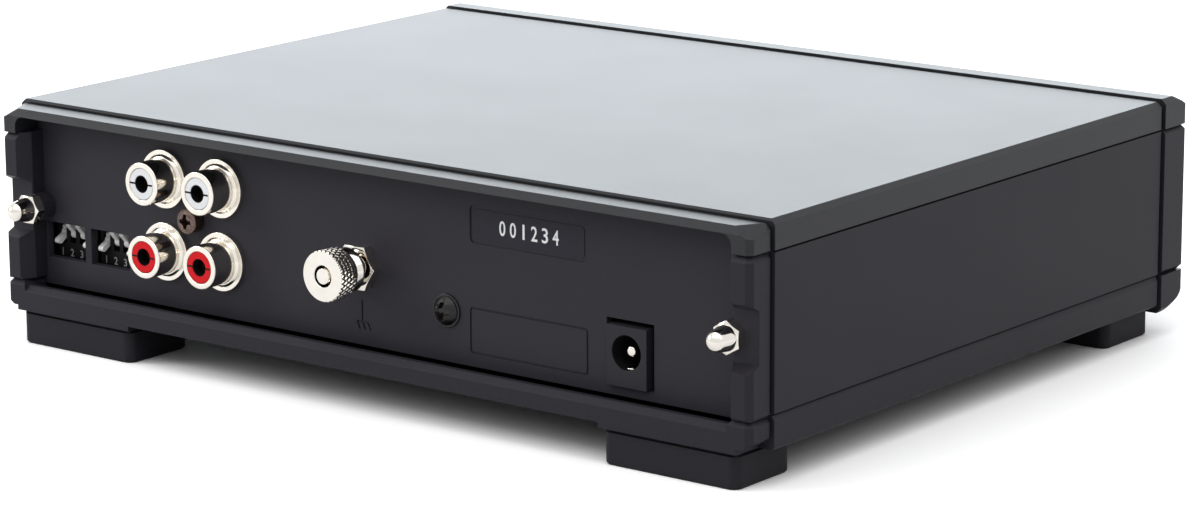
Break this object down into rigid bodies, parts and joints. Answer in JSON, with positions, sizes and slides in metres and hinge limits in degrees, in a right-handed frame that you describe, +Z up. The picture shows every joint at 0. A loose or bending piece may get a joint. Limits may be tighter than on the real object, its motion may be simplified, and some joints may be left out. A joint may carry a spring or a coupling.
{
  "type": "phono preamplifier",
  "caption": "Flat black phono preamplifier with phono sockets, setting switches, power inlet and a ground post at the back, standing on block feet.",
  "frame": {"origin": "middle of the bounding box's underside, in the plane that the feet stand on", "axes": "+X to the right of somebody who faces the front, +Y out of the back, where the sockets are, +Z up"},
  "size_m": [0.1808, 0.1478, 0.0476],
  "materials": {
    "cover_paint": "fine powder coat",
    "case_paint": "grained black coat",
    "panel_paint": "satin black",
    "foot_rubber": "matt",
    "nickel": "polished",
    "contact_brass": "plated",
    "white_plastic": "gloss",
    "red_plastic": "gloss",
    "black_plastic": "moulded",
    "steel": "zinc plated",
    "bronze_screw": "darkened",
    "black_screw": "gloss black",
    "board_laminate": "green",
    "capacitor_sleeve": "sleeve",
    "film_resin": "moulded",
    "resistor_lacquer": "lacquer",
    "heat_sink_aluminium": "anodised",
    "indicator_glow": "clear"
  },
  "bodies": {
    "case": {"amplifier_chips": "black_plastic", "base_shell": "case_paint", "board_screws": "steel", "bridge_rectifier": "black_plastic", "circuit_board": "board_laminate", "dome_nuts": "nickel", "film_capacitors": "film_resin", "foot_front_left": "foot_rubber", "foot_front_right": "foot_rubber", "foot_rear_left": "foot_rubber", "foot_rear_right": "foot_rubber", "foot_screws": "steel", "front_panel": "case_paint", "ground_hex_nut": "nickel", "ground_stud": "nickel", "heat_sink": "heat_sink_aluminium", "indicator_led": "indicator_glow", "indicator_lens": "indicator_glow", "jack_housing": "black_plastic", "jack_pin": "nickel", "jack_spring": "nickel", "panel_bracket": "black_plastic", "panel_screw": "black_screw", "rear_panel": "panel_paint", "regulators": "black_plastic", "resistors": "resistor_lacquer", "side_wall_left": "case_paint", "side_wall_right": "case_paint", "small_capacitors": "capacitor_sleeve", "socket_block": "black_plastic", "socket_contacts": "contact_brass", "socket_insulator_lower_inner": "red_plastic", "socket_insulator_lower_outer": "red_plastic", "socket_insulator_upper_inner": "white_plastic", "socket_insulator_upper_outer": "white_plastic", "socket_screw": "bronze_screw", "socket_shell_lower_inner": "nickel", "socket_shell_lower_outer": "nickel", "socket_shell_upper_inner": "nickel", "socket_shell_upper_outer": "nickel", "solder_joints": "steel", "solder_tag": "nickel", "supply_capacitors": "capacitor_sleeve", "switch_axle_inner": "steel", "switch_axle_outer": "steel", "switch_body_inner": "black_plastic", "switch_body_outer": "black_plastic", "tie_rods": "steel", "top_cover": "cover_paint"},
    "clamp_collar": {"clamp_collar": "nickel"},
    "thumb_nut": {"thumb_nut": "nickel"},
    "switch_lever_inner_1": {"switch_lever_inner_1": "white_plastic"},
    "switch_lever_inner_2": {"switch_lever_inner_2": "white_plastic"},
    "switch_lever_inner_3": {"switch_lever_inner_3": "white_plastic"},
    "switch_lever_inner_4": {"switch_lever_inner_4": "white_plastic"},
    "switch_lever_outer_1": {"switch_lever_outer_1": "white_plastic"},
    "switch_lever_outer_2": {"switch_lever_outer_2": "white_plastic"},
    "switch_lever_outer_3": {"switch_lever_outer_3": "white_plastic"},
    "switch_lever_outer_4": {"switch_lever_outer_4": "white_plastic"}
  },
  "joints": [
    {"name": "collar_travel", "type": "slide", "parent": "case", "child": "clamp_collar", "axis": [0, 1, 0], "range_m": [-0.00142, 0.00142]},
    {"name": "thumb_nut_turn", "type": "hinge", "parent": "clamp_collar", "child": "thumb_nut", "pos_m": [0.00245, 0.07145, 0.02615], "axis": [0, 1, 0], "range_deg": [-720, 720]},
    {"name": "lever_outer_1_turn", "type": "hinge", "parent": "case", "child": "switch_lever_outer_1", "pos_m": [0.08226, 0.05917, 0.02095], "axis": [1, 0, 0], "range_deg": [0, 80]},
    {"name": "lever_outer_2_turn", "type": "hinge", "parent": "case", "child": "switch_lever_outer_2", "pos_m": [0.07972, 0.05917, 0.02095], "axis": [1, 0, 0], "range_deg": [-80, 0]},
    {"name": "lever_outer_3_turn", "type": "hinge", "parent": "case", "child": "switch_lever_outer_3", "pos_m": [0.07718, 0.05917, 0.02095], "axis": [1, 0, 0], "range_deg": [-80, 0]},
    {"name": "lever_outer_4_turn", "type": "hinge", "parent": "case", "child": "switch_lever_outer_4", "pos_m": [0.07464, 0.05917, 0.02095], "axis": [1, 0, 0], "range_deg": [0, 80]},
    {"name": "lever_inner_1_turn", "type": "hinge", "parent": "case", "child": "switch_lever_inner_1", "pos_m": [0.07046, 0.05917, 0.02095], "axis": [1, 0, 0], "range_deg": [0, 80]},
    {"name": "lever_inner_2_turn", "type": "hinge", "parent": "case", "child": "switch_lever_inner_2", "pos_m": [0.06792, 0.05917, 0.02095], "axis": [1, 0, 0], "range_deg": [-80, 0]},
    {"name": "lever_inner_3_turn", "type": "hinge", "parent": "case", "child": "switch_lever_inner_3", "pos_m": [0.06538, 0.05917, 0.02095], "axis": [1, 0, 0], "range_deg": [-80, 0]},
    {"name": "lever_inner_4_turn", "type": "hinge", "parent": "case", "child": "switch_lever_inner_4", "pos_m": [0.06284, 0.05917, 0.02095], "axis": [1, 0, 0], "range_deg": [0, 80]}
  ],
  "couplings": [
    {"joint": "collar_travel", "follows": "thumb_nut_turn", "m_per_rad": 0.00011141}
  ]
}
